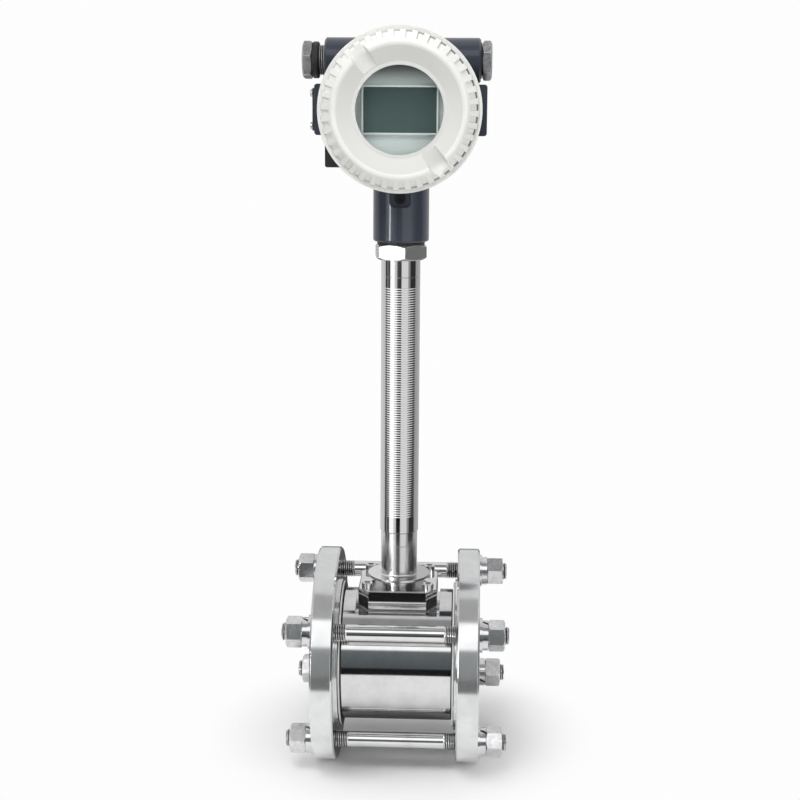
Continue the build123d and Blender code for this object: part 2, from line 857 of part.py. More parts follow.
terminal_screw_row = terminal_h / 2 - terminal_step_h / 2
terminal_wire_row = -terminal_step_h / 2
terminal_front = rear_wall + terminal_t
terminal_step = rear_wall + terminal_step_t

with BuildPart() as terminal_block:
    with BuildSketch(rear_face.offset(rear_wall)):
        Rectangle(terminal_w, terminal_h)
    extrude(amount=terminal_t)
    with BuildSketch(rear_face.offset(terminal_front)):
        with Locations((0, terminal_screw_row)):
            Rectangle(terminal_w, terminal_step_h)
    extrude(amount=terminal_step_t - terminal_t, mode=Mode.SUBTRACT)
    with BuildSketch(rear_face.offset(terminal_front)):
        with Locations((0, terminal_wire_row)):
            with GridLocations(terminal_pitch, 1, terminal_ways, 1):
                Circle(terminal_wire_d / 2)
    extrude(amount=-terminal_wire_depth, mode=Mode.SUBTRACT)
terminal_block.part.label = "terminal_block"

with BuildPart() as terminal_screws:
    with BuildSketch(rear_face.offset(terminal_step)):
        with Locations((0, terminal_screw_row)):
            with GridLocations(terminal_pitch, 1, terminal_ways, 1):
                Circle(terminal_screw_d / 2)
    extrude(amount=terminal_screw_h)
    with BuildSketch(rear_face.offset(terminal_step + terminal_screw_h)):
        with Locations((0, terminal_screw_row)):
            with GridLocations(terminal_pitch, 1, terminal_ways, 1):
                Rectangle(terminal_screw_slot, terminal_screw_d)
    extrude(amount=-terminal_screw_h / 2, mode=Mode.SUBTRACT)
terminal_screws.part.label = "terminal_screws"

# Cut between two teeth, sunk square to the rim's cone, standing on the origin

tooth_slope = sqrt(((tooth_d - tooth_top_d) / 2) ** 2 + tooth_rise**2)
cone_out = tooth_rise / tooth_slope
cone_up = (tooth_d - tooth_top_d) / 2 / tooth_slope
gap_top_r = tooth_d / 2 - tooth_gap_part * (tooth_d - tooth_top_d) / 2
gap_top_h = tooth_base + tooth_gap_part * tooth_rise

with BuildPart() as tooth_gap:
    with BuildSketch(Plane.XZ):
        with BuildLine():
            Polyline(
                (tooth_d / 2 - tooth_gap_depth / cone_out, tooth_base),
                (gap_top_r - tooth_gap_depth * cone_out, gap_top_h - tooth_gap_depth * cone_up),
                (gap_top_r + tooth_gap_depth * cone_out, gap_top_h + tooth_gap_depth * cone_up),
                (rim_d / 2, gap_top_h),
                (rim_d / 2, tooth_base),
                close=True,
            )
        make_face()
    revolve(axis=Axis.Z, revolution_arc=tooth_gap_arc)


# Bar slot across a cover, flat floored with sloping sides, its floor standing on the origin

slot_depth = bowl_depth - slot_lift
slot_above = slot_depth + crown_bulge
slot_spread = slot_slope * slot_above / slot_depth

with BuildPart() as bar_slot:
    with BuildSketch(Plane.YZ):
        with BuildLine():
            Polyline(
                (-slot_w / 2 + slot_slope, 0),
                (slot_w / 2 - slot_slope, 0),
                (slot_w / 2 - slot_slope + slot_spread, slot_above),
                (slot_slope - slot_spread - slot_w / 2, slot_above),
                close=True,
            )
        make_face()
        fillet(vertices().group_by(Axis.Y)[0], slot_corner)
    extrude(amount=rim_d / 2, both=True)


def draw_cover(inside):
    """Section of a cover: its rim and crown, then the given points back to its thread."""
    crown_start = (tooth_top_d / 2, tooth_top)
    crown_end = (bowl_d / 2, crown_top)
    crown_middle = (tooth_top_d / 4 + bowl_d / 4 + crown_bulge, tooth_top / 2 + crown_top / 2 + crown_bulge)
    with BuildLine() as section:
        Polyline(
            (spigot_r, spigot_end),
            (spigot_r, seal_pocket_top),
            (seal_pocket_r, seal_pocket_top),
            (seal_pocket_r, rim_base),
            (rim_d / 2, rim_base),
            (rim_d / 2, groove_base),
            (groove_d / 2, groove_base),
            (groove_d / 2, tooth_base),
            (tooth_d / 2, tooth_base),
            crown_start,
        )
        ThreePointArc(crown_start, crown_middle, crown_end)
        Polyline(crown_end, (bowl_floor_d / 2, bowl_floor), *inside, (spigot_r, spigot_end))
    make_face(section.edges())


def cut_grip(floor_height):
    """Cut the gaps between the teeth, and the two bar slots, in the current cover."""
    with PolarLocations(0, teeth):
        add(tooth_gap.part, mode=Mode.SUBTRACT)
    with Locations(Location((0, 0, floor_height), (0, 0, slot_angle))):
        add(bar_slot.part, mode=Mode.SUBTRACT)


slot_floor = bowl_floor + slot_lift
glass_seat_r = glass_d / 2 + fit_gap

# Front cover with the window opening and the seat for the glass

with BuildPart(front_face) as front_cover:
    with BuildSketch(front_section):
        draw_cover(
            [
                (window_d / 2, bowl_floor),
                (window_d / 2, glass_front),
                (glass_seat_r, glass_front),
                (glass_seat_r, ring_back),
                (holder_r, ring_back),
                (spigot_inner_r, ring_back + holder_slope),
                (spigot_inner_r, spigot_end),
            ]
        )
    revolve(axis=head_axis)
    cut_grip(slot_floor)
front_cover.part.label = "front_cover"

with BuildPart() as window_glass:
    with BuildSketch(front_face.offset(glass_back)):
        Circle(glass_d / 2)
    extrude(amount=glass_t)
window_glass.part.label = "window_glass"

with BuildPart() as glass_ring:
    with BuildSketch(front_face.offset(ring_back)):
        Circle(glass_d / 2)
        Circle(glass_ring_d / 2, mode=Mode.SUBTRACT)
    extrude(amount=glass_ring_t)
    with BuildSketch(front_face.offset(ring_back)):
        with PolarLocations((glass_d + glass_ring_d) / 4, 2):
            Circle(spanner_hole_d / 2)
    extrude(amount=spanner_hole_depth, mode=Mode.SUBTRACT)
glass_ring.part.label = "glass_ring"

# Rear cover, closed, with the same rim

with BuildPart(rear_face) as rear_cover:
    with BuildSketch(rear_section):
        draw_cover(
            [
                (0, bowl_floor),
                (0, bowl_floor - cover_back_t),
                (holder_r, bowl_floor - cover_back_t),
                (spigot_inner_r, bowl_floor - cover_back_t - holder_slope),
                (spigot_inner_r, spigot_end),
            ]
        )
    revolve(axis=head_axis)
    cut_grip(slot_floor)
rear_cover.part.label = "rear_cover"

# Ring seals between the covers and the housing


def draw_seal_ring():
    """Rounded section of a cover's ring seal."""
    with Locations((seal_ring_r + seal_ring_w / 2, rim_base + seal_ring_t / 2)):
        RectangleRounded(seal_ring_w, seal_ring_t, seal_ring_t / 3)


with BuildPart() as front_seal:
    with BuildSketch(front_section):
        draw_seal_ring()
    revolve(axis=head_axis)
front_seal.part.label = "front_seal"

with BuildPart() as rear_seal:
    with BuildSketch(rear_section):
        draw_seal_ring()
    revolve(axis=head_axis)
rear_seal.part.label = "rear_seal"

# Blanking plugs in the cable entries, each with a rubber seal under its head


def shape_plug(side, out, turn):
    """Hexagon plug with a hollow threaded spigot, in the current part."""
    head_start = plug_head_start + out
    with BuildSketch(entry_face(side, head_start)) as hexagon:
        RegularPolygon(plug_af / 2, 6, major_radius=False, rotation=turn)
    extrude(hexagon.sketch, amount=plug_head)
    trim_hexagon(entry_section(side), plug_af, head_start, head_start + plug_head)
    with BuildSketch(entry_face(side, plug_end + out)) as spigot:
        Circle(entry_thread_d / 2)
    extrude(spigot.sketch, amount=plug_thread_len)
    with BuildSketch(entry_face(side, plug_end + out)) as core:
        Circle(plug_core_d / 2)
    extrude(core.sketch, amount=plug_core_depth, mode=Mode.SUBTRACT)


def shape_plug_seal(side, out):
    """Rubber ring under a plug's head, rounded outside, in the current part."""
    with BuildSketch(entry_face(side, plug_seal_start + out)) as section:
        Circle(plug_seal_od / 2)
        Circle(entry_thread_d / 2 + slide_gap, mode=Mode.SUBTRACT)
    ring = extrude(section.sketch, amount=plug_seal_t)
    fillet(round_edges(ring, plug_seal_od / 2), plug_seal_edge)


with BuildPart() as left_plug:
    shape_plug(-1, left_plug_out, left_plug_turn)
left_plug.part.label = "left_plug"

with BuildPart() as right_plug:
    shape_plug(1, right_plug_out, right_plug_turn)
right_plug.part.label = "right_plug"

with BuildPart() as left_plug_seal:
    shape_plug_seal(-1, left_plug_out)
left_plug_seal.part.label = "left_plug_seal"

with BuildPart() as right_plug_seal:
    shape_plug_seal(1, right_plug_out)
right_plug_seal.part.label = "right_plug_seal"

# One STEP file for each node

nodes = [
    inlet_flange,
    outlet_flange,
    inlet_gasket,
    outlet_gasket,
    meter_body,
    bluff_body,
    sensor_probe,
    bonnet_block,
    bonnet_screws,
    stem,
    lock_nut,
    neck_seal,
    tie_studs,
    flat_washers,
    spring_washers,
    stud_nuts,
    housing,
    lock_screw,
    side_plate,
    side_plate_screws,
    tag_plate,
    tag_screw,
    display_module,
    display_plate,
    lcd_panel,
    lcd_bezel,
    terminal_block,
    terminal_screws,
    front_cover,
    window_glass,
    glass_ring,
    front_seal,
    rear_cover,
    rear_seal,
    left_plug,
    left_plug_seal,
    right_plug,
    right_plug_seal,
]

os.makedirs("parts", exist_ok=True)
for node in nodes:
    export_step(node.part, "parts/" + node.part.label + ".step")
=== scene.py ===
from math import cos, pi, radians, sin

import bpy
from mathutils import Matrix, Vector


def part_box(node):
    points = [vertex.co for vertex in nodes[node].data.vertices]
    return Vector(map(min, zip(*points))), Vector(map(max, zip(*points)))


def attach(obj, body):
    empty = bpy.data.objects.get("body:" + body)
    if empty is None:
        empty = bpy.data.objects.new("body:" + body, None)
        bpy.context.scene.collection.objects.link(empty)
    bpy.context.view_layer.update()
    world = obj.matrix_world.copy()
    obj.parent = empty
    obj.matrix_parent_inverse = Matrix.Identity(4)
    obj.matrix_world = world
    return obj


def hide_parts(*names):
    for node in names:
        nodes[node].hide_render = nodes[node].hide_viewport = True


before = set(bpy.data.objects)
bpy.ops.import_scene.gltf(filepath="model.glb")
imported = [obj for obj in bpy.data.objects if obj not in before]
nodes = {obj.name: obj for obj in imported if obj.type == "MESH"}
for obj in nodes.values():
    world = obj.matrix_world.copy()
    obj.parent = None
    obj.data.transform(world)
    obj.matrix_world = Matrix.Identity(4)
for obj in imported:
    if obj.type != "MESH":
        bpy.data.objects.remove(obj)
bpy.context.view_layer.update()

# Vortex flow meter between two plate flanges: camera, studio, materials and fine detail

# Lengths are metres in the part's frame, where the pipe runs along X and the stem along Z
MM = 0.001

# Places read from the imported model

body_low, body_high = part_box("meter_body")
flange_low, flange_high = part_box("inlet_flange")
stem_low, stem_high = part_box("stem")
cover_low, cover_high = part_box("front_cover")
block_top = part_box("bonnet_block")[1].z
lock_nut_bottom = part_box("lock_nut")[0].z
housing_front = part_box("housing")[0].y
mid_x = (body_low.x + body_high.x) / 2
floor_z = flange_low.z
head_z = (cover_low.z + cover_high.z) / 2

# Camera

camera_place = (129.6 * MM, -1349.4 * MM, 507.7 * MM)
camera_tilt = radians(78.77)
camera_roll = radians(-0.35)
camera_turn = radians(2.43)
camera_lens = 68.93
camera_sensor = 36.0


def build_camera():
    optics = bpy.data.cameras.new("camera")
    optics.lens = camera_lens
    optics.sensor_width = camera_sensor
    camera = bpy.data.objects.new("camera", optics)
    camera.location = camera_place
    camera.rotation_euler = (camera_tilt, camera_roll, camera_turn)
    bpy.context.scene.collection.objects.link(camera)
    bpy.context.scene.camera = camera
    bpy.context.scene.view_settings.view_transform = "Standard"


build_camera()

# Node helpers

class Graph:
    """The node tree of a material or world, with short ways to add and join nodes."""

    def __init__(self, owner, output="ShaderNodeOutputMaterial"):
        owner.use_nodes = True
        self.tree = owner.node_tree
        self.tree.nodes.clear()
        self.output = self.add(output)

    def add(self, kind, inputs=None, **settings):
        node = self.tree.nodes.new(kind)
        for key, value in settings.items():
            setattr(node, key, value)
        self.feed(node, inputs or {})
        return node

    def feed(self, node, inputs):
        """Give a node's sockets their values, or links from other nodes' outputs."""
        for key, value in inputs.items():
            if isinstance(value, bpy.types.NodeSocket):
                self.tree.links.new(value, node.inputs[key])
            else:
                node.inputs[key].default_value = value

    def show(self, shader):
        self.feed(self.output, {"Surface": shader})

    def math(self, operation, a, b=0.0, c=0.0):
        return self.add("ShaderNodeMath", {0: a, 1: b, 2: c}, operation=operation).outputs[0]

    def times(self, a, b):
        return self.math("MULTIPLY", a, b)

    def vector(self, operation, a, b):
        return self.add("ShaderNodeVectorMath", {0: a, 1: b}, operation=operation).outputs[0]

    def length(self, vector):
        return self.add("ShaderNodeVectorMath", {0: vector}, operation="LENGTH").outputs["Value"]

    def axis(self, vector, letter):
        return self.add("ShaderNodeSeparateXYZ", {0: vector}).outputs[letter]

    def span(self, value, low, high, to_low=0.0, to_high=1.0, kind="LINEAR"):
        """to_low where value is low, to_high where it is high, and no further than these."""
        node = self.add(
            "ShaderNodeMapRange",
            {0: value, 1: low, 2: high, 3: to_low, 4: to_high},
            interpolation_type=kind,
        )
        return node.outputs[0]

    def fade(self, value, none, full, most=1.0):
        """0 where value is none, rising smoothly to most where it is full."""
        return self.span(value, none, full, 0.0, most, "SMOOTHSTEP")

    def noise(self, vector, scale, detail=3.0, rough=0.55):
        node = self.add(
            "ShaderNodeTexNoise",
            {"Vector": vector, "Scale": scale, "Detail": detail, "Roughness": rough},
        )
        return node.outputs["Fac"]

    def mix(self, factor, a, b):
        """Colour a where factor is 0, colour b where it is 1."""
        return self.add("ShaderNodeMix", {0: factor, 6: a, 7: b}, data_type="RGBA").outputs[2]

    def mix_shaders(self, factor, a, b):
        return self.add("ShaderNodeMixShader", {0: factor, 1: a, 2: b}).outputs[0]

    def ramp(self, value, low, high, stops):
        """Colours along a value from 0 to 1. A stop is a place from low to high and a grey or colour."""
        node = self.add("ShaderNodeValToRGB", {0: value})
        elements = node.color_ramp.elements
        while len(elements) < len(stops):
            elements.new(0.5)
        for element, (place, grey) in zip(elements, stops):
            element.position = (place - low) / (high - low)
            element.color = grey if isinstance(grey, tuple) else (grey, grey, grey, 1.0)
        return node.outputs[0]

    def bevel(self, radius):
        """The surface's direction with its edges rounded."""
        return self.add("ShaderNodeBevel", {"Radius": radius}, samples=4).outputs[0]

    def flatness(self, rounded):
        """1 on a flat face, and less where the rounded direction leaves the face's own."""
        own = self.add("ShaderNodeNewGeometry").outputs["Normal"]
        node = self.add("ShaderNodeVectorMath", {0: rounded, 1: own}, operation="DOT_PRODUCT")
        return node.outputs["Value"]

    def bump(self, strength, distance, height, under=None):
        """The surface's direction with relief on it, over another direction or the face's own."""
        node = self.add(
            "ShaderNodeBump", {"Strength": strength, "Distance": distance, "Height": height}
        )
        if under is not None:
            self.feed(node, {"Normal": under})
        return node.outputs[0]


def new_material(name):
    material = bpy.data.materials.new(name)
    graph = Graph(material)
    surface = graph.add("ShaderNodeBsdfPrincipled")
    graph.show(surface.outputs[0])
    return material, graph, surface


def place_of(graph, stretch=(1.0, 1.0, 1.0)):
    """Object coordinates in metres, stretched."""
    coordinates = graph.add("ShaderNodeTexCoord").outputs["Object"]
    return graph.vector("MULTIPLY", coordinates, stretch)


def shade(colour, factor):
    return tuple(channel * factor for channel in colour[:3]) + (1.0,)


def between(graph, value, low, high, soft):
    """1 from low to high, fading out within soft on both sides."""
    return graph.times(
        graph.span(value, low - soft, low), graph.span(value, high + soft, high)
    )


# Masks that follow the covers, the flanges and the gaskets

cover_groove_r = 65.65 * MM
cover_groove_deep = 3.0 * MM
cover_groove_near = 10.6 * MM
cover_groove_far = 12.1 * MM
cover_thread_r = 58.0 * MM
cover_thread_half = 0.3 * MM
cover_pitch = 2.0 * MM

# In each pair a mask is 0 at the first value and 1 at the second
crown_setback = (0.75 * MM, 1.1 * MM)
bowl_edge_r = (58.1 * MM, 54.0 * MM)
inner_face_reach = (20.0 * MM, 45.0 * MM)
# Painted shade on a gasket: near the edge that the flange overhangs, and on faces that look along the
# pipe
gasket_rim = (0.7 * MM, 0.5 * MM)
gasket_facing = (0.5, 0.8)


def about_head_axis(graph):
    """Distance from the covers' axis, reach before or behind the head's middle, and Y."""
    plain = place_of(graph)
    offset = graph.vector("SUBTRACT", plain, (mid_x, 0.0, head_z))
    distance = graph.length(graph.vector("MULTIPLY", offset, (1.0, 0.0, 1.0)))
    along = graph.axis(plain, "Y")
    return distance, graph.math("ABSOLUTE", along), along


def groove_mask(graph):
    """The narrow groove between a cover's rim and its grips."""
    distance, depth, _ = about_head_axis(graph)
    front = -cover_low.y
    inside = between(
        graph, depth, front - cover_groove_far, front - cover_groove_near, soft=0.1 * MM
    )
    root_r = cover_groove_r - cover_groove_deep
    ring = between(graph, distance, root_r, cover_groove_r, soft=0.15 * MM)
    return graph.times(inside, ring)


def hollow_mask(graph):
    """What lies behind a cover's crown within its bowl: the bowl and the bar slots' inner ends."""
    distance, depth, _ = about_head_axis(graph)
    front = -cover_low.y
    none, full = crown_setback
    behind = graph.span(depth, front - none, front - full)
    return graph.times(behind, graph.span(distance, *bowl_edge_r))


def cover_thread_mask(graph):
    """The thread between a cover and its mouth in the housing, and that thread's profile."""
    distance, depth, along = about_head_axis(graph)
    inside = between(graph, depth, -cover_high.y, -housing_front, soft=0.1 * MM)
    low, high = cover_thread_r - cover_thread_half, cover_thread_r + cover_thread_half
    ring = between(graph, distance, low, high, soft=0.05 * MM)
    tooth = graph.math("PINGPONG", along, cover_pitch / 2)
    return graph.times(inside, ring), graph.math("DIVIDE", tooth, cover_pitch / 2)


def facing_x(graph):
    """How far the face looks along the pipe, before any softening."""
    return graph.axis(graph.add("ShaderNodeTexCoord").outputs["Normal"], "X")


def inner_face_mask(graph):
    """The turned faces of the flanges that look at each other."""
    along = graph.axis(place_of(graph), "X")
    toward = graph.times(graph.math("SUBTRACT", mid_x, along), facing_x(graph))
    return graph.span(toward, *inner_face_reach)


def gap_shade_mask(graph):
    """The gasket's flat sides and the edge that the flange overhangs."""
    side = graph.span(graph.math("ABSOLUTE", facing_x(graph)), *gasket_facing)
    along = graph.axis(place_of(graph), "X")
    reach = graph.math("ABSOLUTE", graph.math("SUBTRACT", along, mid_x))
    half_gap = mid_x - flange_high.x
    none, full = gasket_rim
    return graph.math("MAXIMUM", side, graph.span(reach, half_gap - none, half_gap - full))


# Kinds of surface

# Pale of scuffed steel edges and of the highlight painted along them
rub_and_glint_pale = (0.92, 0.92, 0.92, 1.0)
bare_thread = (0.5, 0.5, 0.51, 1.0)

# Height of the stem's lowest turned groove, from where the steel grows duller downwards
groove_first = 135.0 * MM
foot_dull_h = 30.0 * MM

# Where the outlet's side starts to take painted shade, and where it has it in full: on steel and in
# cover grooves
side_shade_span = (mid_x - 3.0 * MM, mid_x + 1.0 * MM)
groove_shade_side = (mid_x - 20.0 * MM, mid_x + 50.0 * MM)


def steel(name, colour, roughness, grain=(1.0, 1.0, 1.0), marks=0.15, mark_scale=900.0,
          edge=0.35, patch=0.06, metallic=1.0, dirt=0.12, polished_and_shaded_face=False, dull_foot=0.0,
          side_shade_share=1.0, bright_edge=0.0, mottle=0.0):
    """Bare steel with tool marks, uneven gloss, faint stains, softened edges and dark thread roots.

    grain stretches the tool marks: a small number along an axis draws them out along it.
    edge is the radius of softened edges in mm. The option for the outlet's side gives the share of the
    colour that is left there, as painted shade. Lighter edges are scuffed metal and a highlight painted
    along them, and the flanges' facing faces are given a high polish and painted a little darker as
    shade between them. The other options say how strong an effect is."""
    material, graph, surface = new_material(name)
    plain = place_of(graph)
    cut = graph.noise(place_of(graph, grain), mark_scale, detail=4.0, rough=0.6)
    cloud = graph.noise(plain, scale=38.0, detail=4.0, rough=0.6)
    fine = graph.noise(plain, scale=420.0, detail=2.0)
    rounded = graph.bevel(edge * MM)
    recess = graph.add("ShaderNodeAttribute", attribute_name="recess").outputs["Fac"]

    gloss = graph.math("MULTIPLY_ADD", cut, patch, roughness - patch)
    gloss = graph.math("MULTIPLY_ADD", cloud, patch, gloss)
    stains = graph.fade(cloud, 0.35, 0.72)
    tint = graph.mix(stains, shade(colour, 1.0), shade(colour, 1.0 - dirt))
    specks = graph.span(fine, 0.62, 0.8, 0.0, 0.35)
    tint = graph.mix(specks, tint, shade(colour, 1.0 - 1.6 * dirt))
    if mottle:
        spots = graph.noise(plain, scale=330.0, rough=0.6)
        spots = graph.fade(spots, 0.42, 0.62, mottle)
        tint = graph.mix(spots, tint, shade(colour, 0.45))
    # Lighter edges: scuffed metal, and a highlight painted along them
    if bright_edge:
        rub_and_glint = graph.span(graph.flatness(rounded), 0.985, 0.93, 0.0, bright_edge)
        tint = graph.mix(rub_and_glint, tint, rub_and_glint_pale)
    tint = graph.mix(graph.times(recess, 0.93), tint, shade(colour, 0.03))
    # The flanges' facing faces: a high polish, and painted a little darker as the shade between them
    if polished_and_shaded_face:
        polish_and_shade = inner_face_mask(graph)
        tint = graph.mix(polish_and_shade, tint, shade(colour, 0.85))
        gloss = graph.span(polish_and_shade, 0.0, 1.0, gloss, 0.05)
        metallic = graph.span(polish_and_shade, 0.0, 1.0, metallic, 1.0)
    # Painted shade: darker steel on the outlet's side
    if side_shade_share < 1.0:
        side = graph.fade(graph.axis(plain, "X"), *side_shade_span)
        tint = graph.mix(side, tint, shade(colour, side_shade_share))
    if dull_foot:
        height = graph.axis(plain, "Z")
        foot = graph.fade(height, groove_first, block_top + foot_dull_h, dull_foot)
        gloss = graph.math("ADD", gloss, foot)
    gloss = graph.math("MULTIPLY_ADD", recess, 0.3, gloss)
    graph.feed(surface, {
        "Base Color": tint,
        "Roughness": gloss,
        "Metallic": metallic,
        "Normal": graph.bump(marks, distance=0.05 * MM, height=cut, under=rounded),
    })
    return material


def paint(name, colour, roughness, coat=0.0, peel=0.12, peel_scale=260.0, edge=0.5,
          wear_and_glint=0.25, wear_and_glint_colour=None, dust=0.05, shine=0.5, groove=False, threads=False):
    """Powder coat with a faint orange peel, uneven gloss, lighter edges and a little dust.

    The lighter edges are scuffed paint and a highlight painted along them. groove paints shade into a
    cover's bowl and darker shade into its groove, threads the bare thread at its mouth."""
    material, graph, surface = new_material(name)
    plain = place_of(graph)
    cloud = graph.noise(plain, scale=30.0, detail=4.0, rough=0.6)
    grit = graph.noise(plain, peel_scale, detail=2.0)
    speck = graph.noise(plain, scale=900.0, detail=2.0)
    rounded = graph.bevel(edge * MM)
    skin = graph.bump(peel, distance=0.1 * MM, height=grit, under=rounded)
    metallic = 0.0

    # Lighter edges: scuffed paint, and a highlight painted along them
    worn_and_glinting = graph.times(graph.span(graph.flatness(rounded), 0.97, 0.8), graph.span(cloud, 0.4, 0.65))
    body = graph.mix(graph.span(cloud, 0.3, 0.7), shade(colour, 0.96), shade(colour, 1.05))
    body = graph.mix(graph.span(speck, 0.66, 0.8, 0.0, dust * 4), body, shade(colour, 0.8))
    body = graph.mix(graph.times(worn_and_glinting, wear_and_glint), body, wear_and_glint_colour or shade(colour, 1.5))
    gloss = graph.math("MULTIPLY_ADD", cloud, 0.12, roughness - 0.06)
    gloss = graph.math("MULTIPLY_ADD", speck, 0.05, gloss)
    if groove:
        # Painted shade in the cover's bowl
        body = graph.mix(hollow_mask(graph), body, shade(colour, 0.86))
        # Painted shade in the groove, stronger on the outlet's side
        groove_shade = graph.span(graph.axis(plain, "X"), *groove_shade_side, 0.2, 0.95)
        groove_shade = graph.times(groove_mask(graph), groove_shade)
        body = graph.mix(groove_shade, body, shade(colour, 0.06))
    if threads:
        bare, tooth = cover_thread_mask(graph)
        body = graph.mix(bare, body, bare_thread)
        gloss = graph.span(bare, 0.0, 1.0, gloss, 0.32)
        metallic = graph.times(bare, 0.9)
        coat = graph.span(bare, 0.0, 1.0, coat, 0.0)
        skin = graph.bump(bare, distance=1.2 * MM, height=tooth, under=skin)
    graph.feed(surface, {
        "Base Color": body,
        "Roughness": gloss,
        "Metallic": metallic,
        "Specular IOR Level": shine,
        "Coat Weight": coat,
        "Coat Roughness": 0.05,
        "Normal": skin,
    })
    return material


def moulded(name, colour, roughness, grit_scale=700.0, grit=0.15, edge=0.3, shaded_sides=False):
    """Moulded plastic, rubber or sheet with a fine surface grain and uneven gloss."""
    material, graph, surface = new_material(name)
    plain = place_of(graph)
    cloud = graph.noise(plain, scale=45.0)
    grain = graph.noise(plain, grit_scale)
    rounded = graph.bevel(edge * MM)
    body = graph.mix(graph.span(cloud, 0.3, 0.7), shade(colour, 0.93), shade(colour, 1.06))
    body = graph.mix(graph.span(grain, 0.6, 0.8, 0.0, 0.5), body, shade(colour, 0.85))
    # Painted shade on the gasket's sides and on the edge that the flange overhangs
    if shaded_sides:
        body = graph.mix(gap_shade_mask(graph), body, shade(colour, 0.03))
    graph.feed(surface, {
        "Base Color": body,
        "Roughness": graph.math("MULTIPLY_ADD", cloud, 0.15, roughness - 0.07),
        "Normal": graph.bump(grit, distance=0.08 * MM, height=grain, under=rounded),
    })
    return material


# Display

window_r = 37.1 * MM
window_shade_h = 19.0 * MM
cell = 0.45 * MM
cell_line = 0.045 * MM
glass_tint = (0.985, 1.0, 0.995, 1.0)


def brushed_plate(name, colour):
    """Pale sheet behind the display, brushed from side to side, with the cover's shadow painted on under
    its upper edge.
    """
    material, graph, surface = new_material(name)
    streak = graph.noise(place_of(graph, (0.02, 1.0, 1.0)), scale=900.0, detail=4.0, rough=0.7)
    cloud = graph.noise(place_of(graph, (0.3, 1.0, 1.0)), scale=60.0)
    body = graph.mix(graph.span(streak, 0.3, 0.7), shade(colour, 0.9), shade(colour, 1.06))
    body = graph.mix(graph.span(cloud, 0.3, 0.7, 0.0, 0.3), body, shade(colour, 0.88))
    window_top = head_z + window_r
    height = graph.axis(place_of(graph), "Z")
    # Painted shadow of the cover: the plate darkens towards the window's top
    cover_shadow = graph.fade(height, window_top - window_shade_h, window_top, 0.95)
    graph.feed(surface, {
        "Base Color": graph.mix(cover_shadow, body, shade(colour, 0.1)),
        "Metallic": 0.15,
        "Roughness": graph.math("MULTIPLY_ADD", streak, 0.15, 0.3),
        "Normal": graph.bump(0.3, distance=0.04 * MM, height=streak),
    })
    return material


def liquid_crystal(name):
    """Unlit display: dark teal, a touch lighter towards its lower edge, with a faint cell grid."""
    material, graph, surface = new_material(name)
    plain = place_of(graph)
    low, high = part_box("lcd_panel")
    across, up = graph.axis(plain, "X"), graph.axis(plain, "Z")
    cloud = graph.noise(plain, scale=25.0)
    body = graph.mix(
        graph.span(up, low.z, high.z), (0.082, 0.12, 0.118, 1.0), (0.058, 0.088, 0.087, 1.0)
    )
    body = graph.mix(graph.span(cloud, 0.35, 0.7, 0.0, 0.4), body, (0.09, 0.128, 0.124, 1.0))
    upright, level = [
        graph.span(graph.math("PINGPONG", place, cell), cell_line, 0.0) for place in (across, up)
    ]
    line = graph.times(graph.math("MAXIMUM", upright, level), 0.25)
    graph.feed(surface, {
        "Base Color": graph.mix(line, body, (0.045, 0.07, 0.07, 1.0)),
        "Roughness": graph.math("MULTIPLY_ADD", cloud, 0.1, 0.12),
        "Specular IOR Level": 0.15,
    })
    return material


def clear_glass(name):
    """Clear window glass with faint smears, which lets lamp light through to the display."""
    material, graph, surface = new_material(name)
    smear = graph.noise(place_of(graph, (1.0, 1.0, 0.4)), scale=40.0, detail=4.0, rough=0.7)
    graph.feed(surface, {
        "Base Color": glass_tint,
        "Transmission Weight": 1.0,
        "IOR": 1.47,
        "Roughness": graph.span(smear, 0.5, 0.75, 0.0, 0.05),
    })
    path = graph.add("ShaderNodeLightPath").outputs
    passing = graph.math("MAXIMUM", path["Is Shadow Ray"], path["Is Diffuse Ray"])
    passing = graph.math("MAXIMUM", passing, path["Is Glossy Ray"])
    through = graph.add("ShaderNodeBsdfTransparent", {"Color": glass_tint})
    graph.show(graph.mix_shaders(passing, surface.outputs[0], through.outputs[0]))
    return material


# Metals

flange_steel = steel(
    "flange_steel", (0.78, 0.785, 0.79), 0.12, grain=(1.0, 0.35, 0.35), marks=0.12,
    edge=0.8, metallic=0.82, polished_and_shaded_face=True,
)
body_steel = steel(
    "body_steel", (0.74, 0.74, 0.74), 0.08, grain=(1.0, 0.3, 0.3), marks=0.04,
    mark_scale=500.0, edge=0.5,
)
block_steel = steel(
    "block_steel", (0.78, 0.78, 0.79), 0.06, grain=(0.2, 1.0, 1.0), marks=0.03,
    mark_scale=400.0, edge=0.6, patch=0.03,
)
stem_steel = steel(
    "stem_steel", (0.83, 0.83, 0.83), 0.07, grain=(0.3, 0.3, 3.0), marks=0.03,
    mark_scale=500.0, edge=0.1, patch=0.03, dirt=0.05, dull_foot=0.14, side_shade_share=0.62,
)
stud_steel = steel(
    "stud_steel", (0.8, 0.8, 0.8), 0.1, grain=(0.3, 1.0, 1.0), marks=0.05,
    mark_scale=600.0, edge=0.1,
)
nut_steel = steel(
    "nut_steel", (0.78, 0.78, 0.79), 0.15, marks=0.7, edge=0.5, metallic=0.93, dirt=0.3,
    bright_edge=0.6, mottle=0.22,
)
washer_steel = steel("washer_steel", (0.76, 0.76, 0.77), 0.14, mark_scale=500.0, edge=0.3)
lock_steel = steel(
    "lock_nut_steel", (0.66, 0.67, 0.67), 0.13, marks=0.25, mark_scale=300.0,
    edge=0.7, metallic=0.82,
)
screw_steel = steel("screw_steel", (0.7, 0.7, 0.71), 0.2, mark_scale=700.0, edge=0.2)
probe_steel = steel("probe_steel", (0.7, 0.7, 0.72), 0.25)
